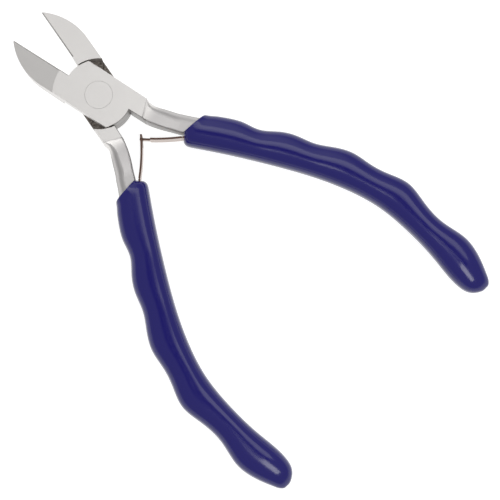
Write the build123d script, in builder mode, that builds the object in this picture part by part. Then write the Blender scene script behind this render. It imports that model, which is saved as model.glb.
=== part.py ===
"""Spring-loaded side cutter, a small lap-joint cutter for wire and bead work.

Two forged steel halves cross at a flush riveted lap joint. Each half is one cutting jaw,
one lap plate and the handle on the opposite side. Dipped vinyl grips cover the handles, and
two steel leaf springs, each riveted to its handle under the grip, hook into each other
between the arms and push the handles apart.

The origin is on the pivot axis at the rear face of the head, which the tool lies on. +X runs
to the jaw tips, +Z comes out of the front face, and the front half's jaw is on +Y. Each half
is drawn in its own frame: u runs along its closing line to the tip, and v is positive on the
side of its jaw, so that its handle lies at negative u and v.
"""
import os
from math import atan2, cos, hypot, radians, sin, tan

from build123d import *

os.makedirs("parts", exist_ok=True)

# Opening and handle set, in degrees
jaw_opening = 22.0
handle_set = -0.98

# Head and lap joint
head_thickness = 8.0
head_half_width = 5.75
lap_gap = 0.1
plate_front_radius = 8.9
plate_back_radius = 8.3
shoulder_clearance = 0.2
closing_clearance = 0.02
edge_break = 0.15

# Jaws
jaw_length = 25.3
jaw_curve_start = 13.5
jaw_tip_flat = 0.3
taper_start = 10.4
edge_start = 11.4
front_fall = 0.115
rear_fall = 0.125
side_fall = 0.07
edge_bevel_width = 0.3
edge_bevel_depth = 0.4
relief_angle = 35.0
relief_run_out = 2.4

# Pivot rivet, ground flush with both faces of the head
rivet_radius = 2.4
rivet_head_radius = 3.4
rivet_head_depth = 1.0
pivot_clearance = 0.05

# Back end of the ground head, and the neck where the arm leaves it
head_back_outer = (-10.4, -5.75)
head_back_inner = (-12.1, -1.1)
crotch_offset = 0.9
neck_inner_edge = [(-12.75, -1.1), (-15.0, -1.55), (-18.0, -2.5), (-21.1, -3.6)]
neck_outer_edge = [(-11.5, -5.45), (-13.5, -5.75), (-16.5, -6.85), (-19.5, -8.0)]
neck_thicknesses = [7.35, 6.9, 6.3, 5.6]
neck_rounds = [1.1, 1.8, 2.2, 2.2]

# Steel arm behind the neck: the last bare points of its two edges, then the core under the grip
arm_inner_bare = [(-28.2, -6.1)]
core_end_outer = (-101.2, -16.6)
core_end_inner = (-101.6, -12.4)
arm_inner_round = 0.4

# Grip: hand shape of its outer edge with five low swells, its end and its inner edge
grip_thickness = 8.0
grip_wall = 1.2
grip_round = 2.9
grip_outer = [
    (-29.0, -13.5), (-33.0, -14.85), (-37.0, -15.45), (-41.0, -17.65), (-45.5, -19.45),
    (-50.0, -20.25), (-54.5, -22.15), (-59.5, -23.75), (-64.5, -23.75), (-69.5, -24.35),
    (-74.7, -25.15), (-80.0, -23.6), (-87.5, -21.85), (-94.0, -21.8), (-99.0, -19.95),
]
grip_end_centre = (-100.85, -14.4)
grip_end_radius = 3.6
grip_end_spread = 58.0
grip_inner = [
    (-99.5, -10.85), (-91.0, -13.0), (-80.5, -15.35), (-72.0, -16.15), (-64.5, -15.5),
    (-56.0, -13.65), (-44.0, -9.75), (-34.0, -5.95), (-26.0, -2.55),
]
grip_lead_outer = (-20.0, -9.3)
grip_lead_inner = (-20.0, 0.1)
mouth_beyond_outer = (-29.0, -13.95)
mouth_outer = (-23.85, -10.65)
mouth_inner = (-21.6, -1.5)
mouth_beyond_inner = (-27.0, -2.3)
mouth_outer_round = 1.3
mouth_inner_round = 2.2

# Leaf springs: one strip each, held in the grip and free from the grip's mouth on
leaf_thickness = 0.5
leaf_width = 4.5
leaf_flex_point = (-22.45, -2.94)
leaf_seat_angle = 18.4
leaf_rest_angle = 35.75
leaf_bend_chord = 6.5
leaf_seat_length = 12.5
leaf_crossing = 9.82
leaf_bow = 0.25
leaf_flex_gap = 0.08
leaf_slot_clearance = 0.2
tongue_width = 1.8
tongue_reach = 0.45
tongue_shoulder = 2.15
slot_clearance = 0.2
slot_before = 2.1
slot_after = 0.62
slot_bridge = 0.4

# Leaf rivets
leaf_rivet_radius = 1.0
leaf_rivet_head_radius = 1.7
leaf_rivet_head_height = 0.5
leaf_rivet_depth = 3.0
leaf_rivet_setback = 6.5

mid_height = head_thickness / 2
cut_reach = 60.0


def moved_in(points, distance):
    """Points moved sideways, to the right of the way they run, by one distance."""
    moved = []
    for index, (u, v) in enumerate(points):
        before = points[max(index - 1, 0)]
        after = points[min(index + 1, len(points) - 1)]
        run, rise = after[0] - before[0], after[1] - before[1]
        length = hypot(run, rise)
        moved.append((u + distance * rise / length, v - distance * run / length))
    return moved


def lap_disc(front_radius, back_radius, half_width):
    """Plan of a lap plate: one radius towards the jaws, another towards the handles."""
    with BuildSketch() as back_part:
        Circle(back_radius)
        Rectangle(back_radius, 2 * half_width, align=(Align.MAX, Align.CENTER), mode=Mode.INTERSECT)
    with BuildSketch() as disc:
        Circle(front_radius)
        Rectangle(front_radius, 2 * half_width, align=(Align.MIN, Align.CENTER), mode=Mode.INTERSECT)
        add(back_part.sketch)
    return disc.sketch


def jaw_waste(side):
    """What grinding takes off a jaw: its two faces, edge bevel and hollow relief."""
    reach = jaw_length - edge_start + 1.0
    slope = atan2(front_fall, 1)

    def edge_plane(u):
        height = head_thickness - edge_bevel_depth - front_fall * (u - taper_start)
        return Plane(
            origin=(u, 0, height), x_dir=(0, side, 0), z_dir=(cos(slope), 0, -sin(slope)))

    faces = []
    for level, fall, outward in ((head_thickness, front_fall, 1), (0, rear_fall, -1)):
        with BuildPart() as face:
            with BuildSketch(Plane(
                origin=(taper_start, 0, level), x_dir=(outward, 0, -fall),
                z_dir=(fall, side * side_fall, outward),
            )):
                Rectangle(4 * jaw_length, 4 * jaw_length)
            extrude(amount=head_thickness)
            if outward == side:
                Cylinder(edge_start, 2 * cut_reach, mode=Mode.SUBTRACT)
        faces.append(face.part)
    with BuildPart() as bevel:
        with BuildSketch(edge_plane(edge_start)):
            with BuildLine():
                Polyline(
                    (closing_clearance, 0),
                    (closing_clearance + 2 * edge_bevel_width, side * 2 * edge_bevel_depth),
                    (-1, side * 2 * edge_bevel_depth), (-1, 0), close=True,
                )
            make_face()
        extrude(amount=reach)
    spread = head_thickness * tan(radians(relief_angle))
    with BuildPart() as relief:
        with BuildSketch(edge_plane(edge_start + relief_run_out)) as hollow:
            with BuildLine():
                Polyline(
                    (closing_clearance, 0), (closing_clearance + spread, -side * head_thickness),
                    (-1, -side * head_thickness), (-1, 0), close=True,
                )
            make_face()
        extrude(amount=reach)
        extrude(hollow.sketch, amount=-relief_run_out, taper=relief_angle)
    return faces + [bevel.part, relief.part]


def head_blank(side, pocket_floor):
    """Jaw, lap plate and ground back end of one half, before the jaw is ground."""

    def at(u, v):
        return (u, side * v)

    with BuildPart() as blank:
        with BuildSketch():
            with BuildLine():
                closing = Line(at(0, closing_clearance), at(jaw_length, closing_clearance))
                tip = Line(closing @ 1, at(jaw_length, jaw_tip_flat))
                shoulder = at(jaw_curve_start, head_half_width)
                TangentArc(shoulder, tip @ 1, tangent=(1, 0))
                back = Line(shoulder, at(0, head_half_width))
                Line(back @ 1, closing @ 0)
            make_face()
            add(lap_disc(plate_front_radius, plate_back_radius, head_half_width))
            with BuildLine():
                Polyline(
                    at(0, -head_half_width), at(*head_back_outer), at(*head_back_inner),
                    at(0, -crotch_offset), close=True,
                )
            make_face()
        extrude(amount=head_thickness)
        with BuildSketch(Plane.XY.offset(pocket_floor)):
            add(lap_disc(
                plate_front_radius + shoulder_clearance,
                plate_back_radius + shoulder_clearance,
                cut_reach,
            ))
        extrude(amount=mid_height + lap_gap / 2, mode=Mode.SUBTRACT)
        add(jaw_waste(side), mode=Mode.SUBTRACT)
        ground = [face for level in (0, head_thickness)
                  for face in blank.faces().filter_by_position(Axis.Z, level, level)
                  if face.center().X < plate_front_radius / 2]
        rims = ShapeList(edge for face in ground for edge in face.edges())
        chamfer(rims.filter_by(lambda edge: edge.center().X < taper_start), edge_break)
    return blank.part


def neck_section(side, inner, outer, thickness, outer_round, inner_round):
    """Cross-section of the neck between two plan points, rounder on its outer side."""
    start = Vector(inner[0], side * inner[1], mid_height)
    stop = Vector(outer[0], side * outer[1], mid_height)
    across = (stop - start).normalized()
    plane = Plane(origin=(start + stop) * 0.5, x_dir=across, z_dir=across.cross(Vector(0, 0, 1)))
    with BuildSketch(plane) as section:
        Rectangle((stop - start).length, thickness)
        fillet(section.vertices().sort_by(Axis.X)[-2:], outer_round)
        fillet(section.vertices().sort_by(Axis.X)[:2], inner_round)
    return section.sketch


def arm_bar(side):
    """Handle steel from the neck to its end: a bar with rounded edges, scalloped under the grip."""

    def at(u, v):
        return (u, side * v)

    def rims():
        flat = [edge for edge in bar.edges() if edge.geom_type == GeomType.BSPLINE
                and edge.bounding_box().size.Z < closing_clearance]
        return ShapeList(flat).sort_by(lambda edge: abs(edge.center().Y))

    outer = neck_outer_edge[-1:] + moved_in(grip_outer, grip_wall)[:-1] + [core_end_outer]
    inner = [core_end_inner] + moved_in(grip_inner, grip_wall)[1:-2] + arm_inner_bare + neck_inner_edge[-1:]
    arm_thickness = neck_thicknesses[-1]
    with BuildPart() as bar:
        with BuildSketch(Plane.XY.offset(mid_height - arm_thickness / 2)):
            with BuildLine():
                outer_edge = Spline([at(*point) for point in outer])
                Line(outer_edge @ 1, at(*core_end_inner))
                inner_edge = Spline([at(*point) for point in inner])
                Line(inner_edge @ 1, outer_edge @ 0)
            make_face()
        extrude(amount=arm_thickness)
        fillet(rims()[:2], arm_inner_round)
        fillet(rims()[-2:], neck_rounds[-1])
    return bar.part


def neck(side):
    """Forged stretch from the ground back end of the head to the bar, falling in thickness."""
    places = list(zip(neck_inner_edge, neck_outer_edge, neck_thicknesses, neck_rounds))
    with BuildPart() as cove:
        add(neck_section(side, head_back_inner, head_back_outer, head_thickness - 2 * edge_break,
                         arm_inner_round, arm_inner_round))
        for step, place in enumerate(places, start=1):
            section = neck_section(side, *place, arm_inner_round)
            add(section.rotate(Axis.Z, handle_set * step / len(places)))
        loft()
    return cove.part


def leaf_points():
    """Places along a leaf's centre line in its handle's frame, with its two headings."""
    seat = Vector(cos(radians(leaf_seat_angle)), sin(radians(leaf_seat_angle)))
    free = Vector(cos(radians(leaf_rest_angle)), sin(radians(leaf_rest_angle)))
    middle = radians((leaf_seat_angle + leaf_rest_angle) / 2)
    flex = Vector(*leaf_flex_point)
    bend_start = flex - Vector(cos(middle), sin(middle)) * leaf_bend_chord
    seat_end = bend_start - seat * leaf_seat_length
    return seat_end, bend_start, flex, flex + free * leaf_crossing, seat, free


def mirrored(vector, side):
    return Vector(vector.X, side * vector.Y)


def leaf_rivet(side):
    """Rivet through a leaf's seat into the handle, square to the seat."""
    seat_end, _, _, _, seat, _ = leaf_points()
    outward = Vector(-seat.Y, seat.X)
    foot = seat_end + seat * leaf_rivet_setback + outward * (leaf_thickness / 2)
    face = Plane(
        origin=mirrored(foot, side) + Vector(0, 0, mid_height),
        x_dir=(0, 0, 1), z_dir=mirrored(outward, side),
    )
    with BuildPart() as rivet:
        with BuildSketch(face):
            Circle(leaf_rivet_head_radius)
        extrude(amount=leaf_rivet_head_height)
        fillet(rivet.edges().group_by(Axis(face.origin, face.z_dir))[-1], leaf_rivet_head_height / 2)
        with BuildSketch(face):
            Circle(leaf_rivet_radius)
        extrude(amount=-(leaf_thickness + leaf_rivet_depth))
    return rivet.part


def leaf_root(side):
    """Held end of a leaf: flat on the handle, then bent away from it up to the flex point."""
    seat_end, bend_start, flex, _, seat, _ = leaf_points()
    with BuildPart() as root:
        with BuildSketch(Plane.XY.offset(mid_height - leaf_width / 2)):
            with BuildLine():
                held = Line(mirrored(seat_end, side), mirrored(bend_start, side))
                TangentArc(held @ 1, mirrored(flex, side), tangent=mirrored(seat, side))
            trace(line_width=leaf_thickness)
            with Locations(mirrored(flex, side)):
                Circle(leaf_thickness / 2 + leaf_flex_gap, mode=Mode.SUBTRACT)
        extrude(amount=leaf_width)
        add(leaf_rivet(side), mode=Mode.SUBTRACT)
    return root.part


def leaf_slot(side):
    """Room in the mouth of a grip for the leaf to swing in."""
    _, _, flex, _, seat, free = leaf_points()
    along = (seat + free).normalized()
    start = mirrored(flex - along * leaf_thickness, side)
    with BuildPart() as room:
        with BuildSketch(Plane(
            origin=start + Vector(0, 0, mid_height), x_dir=(0, 0, 1), z_dir=mirrored(along, side),
        )):
            Rectangle(leaf_width + 2 * leaf_slot_clearance, leaf_thickness + 2 * leaf_slot_clearance)
        extrude(amount=leaf_crossing / 2)
    return room.part


def leaf_blade(side):
    """Free end of a leaf, bowed by its load; the front one has a tongue, the rear one its slot."""
    _, _, flex, crossing, _, free = leaf_points()
    bulge = (flex + crossing) * 0.5 + Vector(-free.Y, free.X) * leaf_bow
    tail = tongue_reach if side > 0 else slot_after + slot_bridge
    with BuildPart() as blade:
        with BuildSketch(Plane.XY.offset(mid_height - leaf_width / 2)):
            with BuildLine():
                bow = ThreePointArc(
                    mirrored(flex, side), mirrored(bulge, side), mirrored(crossing, side))
                Line(bow @ 1, bow @ 1 + (bow % 1) * tail)
            trace(line_width=leaf_thickness)
            with Locations(mirrored(flex, side)):
                Circle(leaf_thickness / 2)
        extrude(amount=leaf_width)
        across = (bow % 1).cross(Vector(0, 0, 1))
        with BuildSketch(Plane(
            origin=bow @ 1 + Vector(0, 0, mid_height), x_dir=bow % 1, z_dir=across,
        )):
            if side > 0:
                shoulder = tongue_shoulder + tongue_reach + leaf_thickness
                with Locations((-tongue_shoulder, 0)):
                    Rectangle(shoulder, 2 * leaf_width, align=(Align.MIN, Align.CENTER))
                    Rectangle(shoulder, tongue_width, align=(Align.MIN, Align.CENTER),
                              mode=Mode.SUBTRACT)
            else:
                with Locations(((slot_after - slot_before) / 2, 0)):
                    Rectangle(slot_before + slot_after, tongue_width + 2 * slot_clearance)
        extrude(amount=2 * leaf_thickness, both=True, mode=Mode.SUBTRACT)
    return blade.part


def cutter_half(side):
    """One forged and ground half, turned to its place in the open tool."""
    turn = side * jaw_opening / 2
    own_lap_floor = 0 if side > 0 else mid_height - lap_gap / 2
    with BuildPart() as half:
        add(head_blank(side, own_lap_floor))
        add(neck(side))
        add(arm_bar(side).rotate(Axis.Z, handle_set))
        add(pivot_rivet_body(pivot_clearance if side > 0 else 0), mode=Mode.SUBTRACT)
        add(leaf_root(side).rotate(Axis.Z, handle_set), mode=Mode.SUBTRACT)
        add(leaf_rivet(side).rotate(Axis.Z, handle_set), mode=Mode.SUBTRACT)
    return half.part.rotate(Axis.Z, turn)


def pivot_rivet_body(growth):
    """Rivet with a countersunk head at each face of the head, larger by a running clearance."""
    with BuildPart() as rivet:
        with BuildSketch(Plane.XZ):
            with BuildLine():
                Polyline(
                    (0, 0), (rivet_head_radius + growth, 0), (rivet_radius + growth, rivet_head_depth),
                    (rivet_radius + growth, head_thickness - rivet_head_depth),
                    (rivet_head_radius + growth, head_thickness), (0, head_thickness), close=True,
                )
            make_face()
        revolve(axis=Axis.Z)
    return rivet.part


def grip_body(side):
    """Dipped vinyl sleeve with rounded edges, cut square at its mouth and filled by the handle."""

    def at(u, v):
        return (u, side * v)

    centre_u, centre_v = grip_end_centre
    turns = [radians(180 + grip_end_spread * step / 2) for step in (2, 1, 0, -1, -2)]
    end = [(centre_u + grip_end_radius * cos(turn), centre_v + grip_end_radius * sin(turn))
           for turn in turns]
    outline = [grip_lead_outer] + grip_outer + end + grip_inner + [grip_lead_inner]
    with BuildPart() as grip:
        with BuildSketch():
            with BuildLine():
                hand = Spline([at(*point) for point in outline])
                Line(hand @ 1, hand @ 0)
            make_face()
        extrude(amount=grip_thickness)
        fillet(grip.edges().filter_by(GeomType.BSPLINE), grip_round)
        with BuildSketch():
            with BuildLine():
                front = FilletPolyline(
                    at(*mouth_beyond_outer), at(*mouth_outer), at(*mouth_inner),
                    at(*mouth_beyond_inner), radius=[mouth_outer_round, mouth_inner_round],
                )
                Polyline(front @ 1, at(mouth_beyond_inner[0], cut_reach), at(0, cut_reach),
                         at(0, -cut_reach), at(mouth_beyond_outer[0], -cut_reach), front @ 0)
            make_face()
        extrude(amount=grip_thickness, mode=Mode.SUBTRACT)
        add(arm_bar(side), mode=Mode.SUBTRACT)
        add(leaf_root(side), mode=Mode.SUBTRACT)
        add(leaf_rivet(side), mode=Mode.SUBTRACT)
        add(leaf_slot(side), mode=Mode.SUBTRACT)
    return grip.part


pieces = {}
for side, name in ((1, "front"), (-1, "rear")):
    turn = side * jaw_opening / 2 + handle_set
    pieces[name + "_half"] = cutter_half(side)
    pieces[name + "_grip"] = grip_body(side).rotate(Axis.Z, turn)
    pieces[name + "_leaf_root"] = leaf_root(side).rotate(Axis.Z, turn)
    pieces[name + "_leaf_blade"] = leaf_blade(side).rotate(Axis.Z, turn)
    pieces[name + "_leaf_rivet"] = leaf_rivet(side).rotate(Axis.Z, turn)
pieces["pivot_rivet"] = pivot_rivet_body(0)

for name, piece in pieces.items():
    piece.label = name
    export_step(piece, f"parts/{name}.step")
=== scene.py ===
"""Spring-loaded side cutter lying open on a white table, seen from nearly straight above."""
from math import atan2, pi, radians, sin, sqrt, tan

import bpy
from mathutils import Matrix, Vector


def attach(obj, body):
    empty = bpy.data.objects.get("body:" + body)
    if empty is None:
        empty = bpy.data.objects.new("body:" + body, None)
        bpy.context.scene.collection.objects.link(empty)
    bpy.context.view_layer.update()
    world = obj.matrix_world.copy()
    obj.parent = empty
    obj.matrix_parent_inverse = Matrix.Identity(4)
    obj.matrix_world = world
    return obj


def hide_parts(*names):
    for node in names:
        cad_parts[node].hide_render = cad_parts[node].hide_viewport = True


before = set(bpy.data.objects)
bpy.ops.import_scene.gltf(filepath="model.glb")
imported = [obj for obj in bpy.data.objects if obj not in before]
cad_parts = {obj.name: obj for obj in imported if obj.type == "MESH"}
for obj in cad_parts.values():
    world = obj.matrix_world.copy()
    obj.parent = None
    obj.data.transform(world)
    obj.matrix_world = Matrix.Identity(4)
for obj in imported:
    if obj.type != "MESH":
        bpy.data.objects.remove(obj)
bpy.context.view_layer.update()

scene = bpy.context.scene
scene.view_settings.view_transform = "Standard"

# Camera
# A long lens half a metre above the tool, a few degrees out of plumb on the side of the handle
# ends, with the picture turned so that the jaws point to its upper left corner.
view_centre = Vector((-0.05312, 0.00128, 0.006))
picture_up = Vector((0.69955, -0.71458, 0)).normalized()
straight_up = Vector((0, 0, 1))
picture_right = picture_up.cross(straight_up)
camera_distance, field_width = 0.536, 0.12193
tip_down, tip_right = radians(6.05), radians(0.66)
towards_camera = straight_up - picture_up * tan(tip_down) + picture_right * tan(tip_right)
towards_camera.normalize()
camera_right = picture_up.cross(towards_camera).normalized()
camera_up = towards_camera.cross(camera_right)
bpy.ops.object.camera_add()
camera = bpy.context.object
camera.name = "camera"
camera.matrix_world = Matrix.LocRotScale(
    view_centre + towards_camera * camera_distance,
    Matrix((camera_right, camera_up, towards_camera)).transposed().to_quaternion(), None)
camera.data.sensor_width = 36
camera.data.lens = camera.data.sensor_width * camera_distance / field_width
camera.data.clip_start = 0.01
scene.camera = camera

# Table
# A wide matte white board under the tool. It looks white to the eye and in reflections, and the
# tool's soft shadow still falls on it.
table_size, table_drop = 3, 0.00002
table_paint, table_glow = (0.5, 0.5, 0.5, 1), 0.84
bpy.ops.mesh.primitive_plane_add(size=table_size, location=(0, 0, -table_drop))
table = bpy.context.object
table.name = "table"
bpy.ops.object.transform_apply()


class Wire:
    """One output of a node. Arithmetic on it adds Math nodes to its tree."""

    def __init__(self, tree, socket):
        self.tree = tree
        self.socket = socket

    def math(self, operation, *values):
        return self.tree.add("Math", {"operation": operation}, dict(enumerate(values)))

    def __add__(self, other):
        return self.math("ADD", self, other)

    def __radd__(self, other):
        return self.math("ADD", other, self)

    def __sub__(self, other):
        return self.math("SUBTRACT", self, other)

    def __rsub__(self, other):
        return self.math("SUBTRACT", other, self)

    def __mul__(self, other):
        return self.math("MULTIPLY", self, other)

    def __rmul__(self, other):
        return self.math("MULTIPLY", other, self)

    def __abs__(self):
        return self.math("ABSOLUTE", self)

    def at_least(self, other):
        return self.math("MAXIMUM", self, other)

    def fade(self, start, stop):
        """0 before start, 1 past stop, and a smooth step between them."""
        return self.tree.add(
            "MapRange", {"interpolation_type": "SMOOTHSTEP"},
            {"Value": self, "From Min": start, "From Max": stop})

    def within(self, low, high, margin):
        """1 from low to high, fading to 0 over a margin outside them."""
        return self.fade(low - margin, low) * (1 - self.fade(high, high + margin))


class Nodes:
    """The node tree of a material or of the world, emptied and built again."""

    def __init__(self, owner):
        owner.use_nodes = True
        self.tree = owner.node_tree
        self.tree.nodes.clear()

    def add(self, kind, settings=None, inputs=None, output=0):
        """Adds a node: first its settings, then the values or wires of its sockets."""
        node = self.tree.nodes.new("ShaderNode" + kind)
        for name, value in (settings or {}).items():
            setattr(node, name, value)
        for key, value in (inputs or {}).items():
            if isinstance(value, Wire):
                self.tree.links.new(value.socket, node.inputs[key])
            else:
                node.inputs[key].default_value = value
        return Wire(self, node.outputs[output]) if node.outputs else None

    def axes(self, vector):
        """The three numbers of a vector."""
        split = self.add("SeparateXYZ", inputs={"Vector": vector}).socket.node
        return [Wire(self, socket) for socket in split.outputs]

    def noise(self, vector, scale, detail):
        """A cloudy pattern from 0 to 1."""
        return self.add("TexNoise", inputs={
            "Vector": vector, "Scale": scale, "Detail": detail}, output="Fac")

    def blend(self, share, first, second):
        """The first colour where the share is 0, and the second where it is 1."""
        return self.add("Mix", {"data_type": "RGBA"}, {
            "Factor": share, "A": first, "B": second}, output="Result")


matte_white = bpy.data.materials.new("matte_white")
table_nodes = Nodes(matte_white)
seen_camera = table_nodes.add("LightPath", output="Is Camera Ray")
seen_glossy = table_nodes.add("LightPath", output="Is Glossy Ray")
paint = table_nodes.add("BsdfDiffuse", inputs={"Color": table_paint})
glow = table_nodes.add("Emission", inputs={
    "Strength": seen_camera.at_least(seen_glossy) * table_glow})
table_nodes.add("OutputMaterial", inputs={
    "Surface": table_nodes.add("AddShader", inputs={0: paint, 1: glow})})
table.data.materials.append(matte_white)

# Studio light
# A pale room with bright walls, a window beyond the top of the picture, and a dark gap in the
# ceiling round the camera. A soft box hangs over the picture's top edge, and a strip lamp runs
# from above the tool to the lower right.
wall_level, room_level, gap_level, window_gain = 1.2, 0.44, 0.03, 0.55
wall_top, ceiling_start = 0.08, 0.4
gap_place, gap_inner, gap_outer = (0.06, 0.075), 0.10, 0.24
window_place, window_inner, window_outer = (-0.20, 0.62), 0.12, 0.55
plain_white = (1, 1, 1, 1)
room = bpy.data.worlds.new("room")
scene.world = room
room_nodes = Nodes(room)
sky_x, sky_y, sky_z = room_nodes.axes(room_nodes.add("TexCoord", output="Generated"))
sky_right = sky_x * picture_right.x + sky_y * picture_right.y
sky_up = sky_x * picture_up.x + sky_y * picture_up.y


def in_patch(place, inner, outer):
    """1 in the middle of a round patch of the sky, fading to 0 at its outer radius."""
    right, up = sky_right - place[0], sky_up - place[1]
    return 1 - (right * right + up * up).fade(inner ** 2, outer ** 2)


in_gap = in_patch(gap_place, gap_inner, gap_outer)
in_window = in_patch(window_place, window_inner, window_outer)
overhead = sky_z.fade(wall_top, ceiling_start)
ceiling = room_level + in_window * window_gain - in_gap * (room_level - gap_level)
room_light = (1 - overhead) * wall_level + overhead * ceiling
camera_ray = room_nodes.add("LightPath", output="Is Camera Ray")
seen_level = camera_ray + (1 - camera_ray) * room_light
room_nodes.add("OutputWorld", inputs={"Surface": room_nodes.add("Background", inputs={
    "Color": plain_white, "Strength": seen_level})})

lamp_distance = 0.8
for name, right, up, lean, length, width, radiance in (
    ("soft_box", 0.12, 0.30, 5, 0.50, 0.20, 1.45),
    ("strip_lamp", 0.208, -0.242, -50, 0.46, 0.19, 4.6),
):
    bpy.ops.object.light_add(type="AREA")
    lamp = bpy.context.object
    lamp.name = name
    aim = picture_right * right + picture_up * up
    aim.z = sqrt(1 - aim.length_squared)
    level_right = (picture_right - aim * aim.dot(picture_right)).normalized()
    lamp_right = Matrix.Rotation(radians(lean), 3, aim) @ level_right
    lamp.matrix_world = Matrix.LocRotScale(
        view_centre + aim * lamp_distance,
        Matrix((lamp_right, aim.cross(lamp_right), aim)).transposed().to_quaternion(), None)
    lamp.data.shape = "RECTANGLE"
    lamp.data.size = length
    lamp.data.size_y = width
    lamp.data.energy = radiance * pi * length * width
    lamp.visible_camera = False

# Two forged halves
# Each half is one drop forging of tool steel: jaw, lap plate and handle. The head and its rivet are
# ground to one satin face, the arms polished, and the pockets of the lap left rough, with painted
# shade making them dark. The cutting bevels, the rims in the throat and the flanks of the arms are
# painted darker as shade, and the leaf rivets are the same steel.
# The second colour is painted shade for the cutting bevels and the rims in the throat.
ground_steel, bevel_and_rim_shade = (0.70, 0.683, 0.667, 1), (0.30, 0.29, 0.28, 1)
# The second colour is painted shade for the arms' steep flanks.
arm_steel, flank_shade_steel = (0.54, 0.525, 0.52, 1), (0.37, 0.36, 0.355, 1)
# Painted shade for the lap's pockets, mottled from dark to less dark.
pocket_shade_dark, pocket_shade_pale = (0.07, 0.06, 0.052, 1), (0.30, 0.27, 0.245, 1)
lap_low, lap_high, soft_edge = 0.0036, 0.0044, 0.0003
jaw_root, arm_start, arm_blend = 0.0088, -0.0108, 0.003
throat_back, throat_front, throat_half = -0.0125, -0.0070, 0.0036
level_from, level_full = 0.80, 0.95
flank_until, arm_full = 0.2, 0.8
bevel_from, bevel_full, bevel_until, bevel_gone = 0.35, 0.5, 0.70, 0.78
cloud_scale, pit_scale, grain_scale = 240.0, 1800.0, (700.0, 12000.0, 700.0)
dark_until, pale_full = 0.42, 0.62
base_rough, cloud_rough, arm_rough, lap_rough = 0.34, 0.10, 0.05, 0.25
relief_strength, relief_depth, pit_relief = 0.15, 0.00002, 6
forged_steel = bpy.data.materials.new("forged_steel")
steel = Nodes(forged_steel)
place = steel.add("TexCoord", output="Object")
along, across, height = steel.axes(place)
_, _, facing_up = steel.axes(steel.add("NewGeometry", output="Normal"))
level = abs(facing_up)
cloud = steel.noise(place, cloud_scale, detail=3.0)
pits = steel.noise(place, pit_scale, detail=4.0)
drawn_out = steel.add("Mapping", inputs={"Vector": place, "Scale": grain_scale})
grain = steel.noise(drawn_out, scale=1.0, detail=2.0)
lap_face = height.within(lap_low, lap_high, soft_edge) * level.fade(level_from, level_full)
in_jaw = along.fade(jaw_root, jaw_root + soft_edge)
# Painted shade: the jaw's sloping bevels, picked by how steeply they face, get the dark colour.
bevel_shade = in_jaw * facing_up.fade(bevel_from, bevel_full) * (
    1 - facing_up.fade(bevel_until, bevel_gone))
in_throat = along.within(throat_back, throat_front, soft_edge) * (
    1 - abs(across).fade(throat_half, throat_half + soft_edge))
# Painted shade: the steep rims in the throat, where the gap between the plates lies, get the dark
# colour.
throat_rim_shade = in_throat * (1 - level.fade(level_from, level_full))
on_arm = 1 - along.fade(arm_start - arm_blend, arm_start)
# Painted shade in the lap's pockets: a dark colour, mottled at random by clouds and pits.
shaded_pocket = steel.blend(
    (cloud * 0.5 + pits * 0.5).fade(dark_until, pale_full), pocket_shade_dark, pocket_shade_pale)
# Painted shade: the arms' flanks, sloping away from the light overhead, are darker than their tops.
arm = steel.blend(level.fade(flank_until, arm_full), flank_shade_steel, arm_steel)
bare = steel.blend(on_arm, ground_steel, arm)
face = steel.blend(bevel_shade.at_least(throat_rim_shade), bare, bevel_and_rim_shade)
steel_colour = steel.blend(lap_face, face, shaded_pocket)
steel_rough = base_rough + cloud * cloud_rough + on_arm * arm_rough + lap_face * lap_rough
steel_relief = steel.add("Bump", inputs={
    "Strength": relief_strength, "Distance": relief_depth,
    "Height": grain + lap_face * pits * pit_relief})
steel.add("OutputMaterial", inputs={"Surface": steel.add("BsdfPrincipled", inputs={
    "Base Color": steel_colour, "Metallic": 1.0, "Roughness": steel_rough,
    "Normal": steel_relief})})
for name in ("front_half", "rear_half", "pivot_rivet", "front_leaf_rivet", "rear_leaf_rivet"):
    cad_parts[name].data.materials.clear()
    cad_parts[name].data.materials.append(forged_steel)

# Leaf springs
# Strips of blank spring steel, tempered to a faint copper tint on their faces, with dark sheared
# edges. Each is riveted to its handle under the grip, and their ends hook into each other.
temper, sheared = (0.47, 0.38, 0.33, 1), (0.12, 0.075, 0.06, 1)
edge_from, edge_full = 0.5, 0.8
strip_rough, edge_rough = 0.3, 0.2
spring_steel = bpy.data.materials.new("spring_steel")
spring = Nodes(spring_steel)
_, _, leaf_up = spring.axes(spring.add("NewGeometry", output="Normal"))
on_edge = abs(leaf_up).fade(edge_from, edge_full)
spring.add("OutputMaterial", inputs={"Surface": spring.add("BsdfPrincipled", inputs={
    "Base Color": spring.blend(on_edge, temper, sheared), "Metallic": 1.0,
    "Roughness": strip_rough + on_edge * edge_rough})})
for name in ("front_leaf_root", "front_leaf_blade", "rear_leaf_root", "rear_leaf_blade"):
    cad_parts[name].data.materials.clear()
    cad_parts[name].data.materials.append(spring_steel)

# Grips
# Each handle was dipped twice in hot dark blue vinyl. The coat rounds every edge, rises and falls
# with the finger swells, ends in a thin rim round the steel and the leaf, and shines like glass.
vinyl_blue = (0.0115, 0.0085, 0.157, 1)
sag_scale, skin_scale = 140.0, 1500.0
coat_strength, coat_depth, skin_relief = 0.10, 0.0002, 0.03
coat_rough, skin_rough = 0.10, 0.08
dipped_vinyl = bpy.data.materials.new("dipped_vinyl")
vinyl = Nodes(dipped_vinyl)
coat_place = vinyl.add("TexCoord", output="Object")
sag = vinyl.noise(coat_place, sag_scale, detail=1.0)
skin = vinyl.noise(coat_place, skin_scale, detail=2.0)
coat_relief = vinyl.add("Bump", inputs={
    "Strength": coat_strength, "Distance": coat_depth, "Height": sag + skin * skin_relief})
vinyl.add("OutputMaterial", inputs={"Surface": vinyl.add("BsdfPrincipled", inputs={
    "Base Color": vinyl_blue, "Roughness": coat_rough + skin * skin_rough,
    "Normal": coat_relief})})

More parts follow.
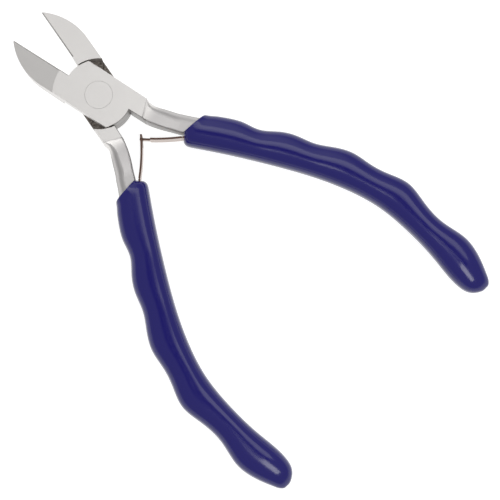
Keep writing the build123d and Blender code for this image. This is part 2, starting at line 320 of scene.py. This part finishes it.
# The guide runs down the middle of a grip in millimetres, before the handle is turned open.
handle_turns = {"front": radians(10.02), "rear": radians(-11.98)}
grip_guide = [(-22.75, -6.1), (-34.0, -10.4), (-45.0, -14.6), (-55.0, -17.9), (-64.5, -19.7),
              (-73.0, -20.5), (-80.0, -19.5), (-90.0, -17.3), (-97.5, -15.7), (-104.45, -14.4)]
mm_per_metre = 1000
half_height, coat_wall, rim, mouth_depth = 0.004, 0.0012, 0.00012, 0.005
mouth_slant, slant_run = radians(-33.7), 0.016
mouth_flare, flare_run = 0.0004, 0.003
mouth_rings = ((mouth_depth, coat_wall), (4 * rim, coat_wall), (rim, 0.9 * coat_wall),
               (rim, 0.3 * coat_wall), (3 * rim, 0))
first_ring, ring_spacing = 8 * rim, 0.0012
end_round, end_fall, end_angles = 0.0037, 0.0080, (0, 18, 36, 54, 70, 82)
end_lean, end_stretch = 0.0007, 0.0004
ring_corners, corner_pull, rounded_reach = 8, 1.2, 0.95
feeler = 0.03


def guide_point(points, distance):
    """Place and heading at a distance along a smooth line through the points."""
    walked, last = 0, len(points) - 2
    for index in range(last + 1):
        start, stop = points[index], points[index + 1]
        run = (stop - start).length
        if walked + run >= distance or index == last:
            break
        walked += run
    share = (distance - walked) / run
    lean_in = (stop - points[max(index - 1, 0)]) / 2
    lean_out = (points[min(index + 2, last + 1)] - start) / 2
    cubic = 2 * (start - stop) + lean_in + lean_out
    square = 3 * (stop - start) - 2 * lean_in - lean_out
    heading = (3 * cubic * share + 2 * square) * share + lean_in
    return ((cubic * share + square) * share + lean_in) * share + start, heading.normalized()


def felt_ring(solid, guide, side, distance):
    """Middle, turn and half width of the grip across its guide, felt from both sides, and the
    directions out of the tool and along the guide."""
    point, heading = guide_point(guide, distance)
    slant = side * mouth_slant * max(0, 1 - distance / slant_run)
    cross = Matrix.Rotation(slant, 3, "Z") @ Vector((-heading.y, heading.x, 0))
    _, left, _, _ = solid.ray_cast(point + cross * feeler, -cross)
    _, right, _, _ = solid.ray_cast(point - cross * feeler, cross)
    flare = cross * side * mouth_flare * max(0, 1 - distance / flare_run)
    left, right = (left + flare, right) if side > 0 else (left, right + flare)
    turn = atan2(cross.y, cross.x) - radians(90)
    return (left + right) / 2, turn, (left - right).length / 2, cross * side, heading


for name, body, side in (("front", "front_body", 1), ("rear", "rear_body", -1)):
    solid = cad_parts[name + "_grip"]
    lie = Matrix.Rotation(handle_turns[name], 3, "Z")
    guide = [lie @ Vector((x, side * y, 0)) / mm_per_metre + straight_up * half_height
             for x, y in grip_guide]
    length = sum((stop - start).length for start, stop in zip(guide, guide[1:]))
    rings = []
    for distance, wall in mouth_rings:
        middle, turn, half_width, _, _ = felt_ring(solid, guide, side, distance)
        rings.append((middle, turn, half_width - wall, half_height - wall))
    even_length = length - end_round
    steps = round(even_length / ring_spacing)
    distances = [first_ring + (even_length - first_ring) * step / steps for step in range(steps)]
    distances += [length - end_round * (1 - sin(radians(angle))) for angle in end_angles]
    for distance in distances:
        middle, turn, half_width, outward, heading = felt_ring(solid, guide, side, distance)
        cap = max(0, 1 - (length - distance) / end_round)
        drip = (outward * end_lean + heading * end_stretch) * cap * cap
        fall = max(0, 1 - (length - distance) / end_fall)
        rings.append((middle + drip, turn, half_width, half_height * sqrt(1 - fall * fall)))

    bpy.ops.object.select_all(action="DESELECT")
    bpy.ops.mesh.primitive_circle_add(
        vertices=ring_corners, radius=1, rotation=(0, radians(90), 0))
    grip = bpy.context.object
    grip.name = name + "_vinyl"
    bpy.ops.object.transform_apply()
    bpy.ops.object.mode_set(mode="EDIT")
    bpy.ops.mesh.select_mode(type="VERT")
    bpy.ops.mesh.select_all(action="DESELECT")
    bpy.ops.object.mode_set(mode="OBJECT")
    for corner in grip.data.vertices:
        corner.select = min(abs(corner.co.y), abs(corner.co.z)) > 0.5
    bpy.ops.object.mode_set(mode="EDIT")
    bpy.ops.transform.resize(value=(1, corner_pull, corner_pull), center_override=(0, 0, 0))
    bpy.ops.mesh.select_all(action="SELECT")
    middle, turn, wide, high = Vector((0, 0, 0)), 0, rounded_reach, rounded_reach
    for index, (new_middle, new_turn, new_wide, new_high) in enumerate(rings):
        if index:
            bpy.ops.mesh.extrude_region_move()
        bpy.ops.transform.translate(value=new_middle - middle)
        bpy.ops.transform.rotate(value=turn, orient_axis="Z", center_override=new_middle)
        bpy.ops.transform.resize(
            value=(1, new_wide / wide, new_high / high), center_override=new_middle)
        bpy.ops.transform.rotate(value=-new_turn, orient_axis="Z", center_override=new_middle)
        if index == 0:
            bpy.ops.mesh.edge_face_add()
            bpy.ops.mesh.select_all(action="SELECT")
        middle, turn, wide, high = new_middle, new_turn, new_wide, new_high
    bpy.ops.mesh.edge_face_add()
    bpy.ops.mesh.select_all(action="SELECT")
    bpy.ops.mesh.normals_make_consistent(inside=False)
    bpy.ops.object.mode_set(mode="OBJECT")
    rounding = grip.modifiers.new("rounding", "SUBSURF")
    rounding.levels = rounding.render_levels = 2
    bpy.ops.object.modifier_apply(modifier=rounding.name)
    bpy.ops.object.shade_smooth()
    grip.data.materials.append(dipped_vinyl)
    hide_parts(name + "_grip")
    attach(grip, body)
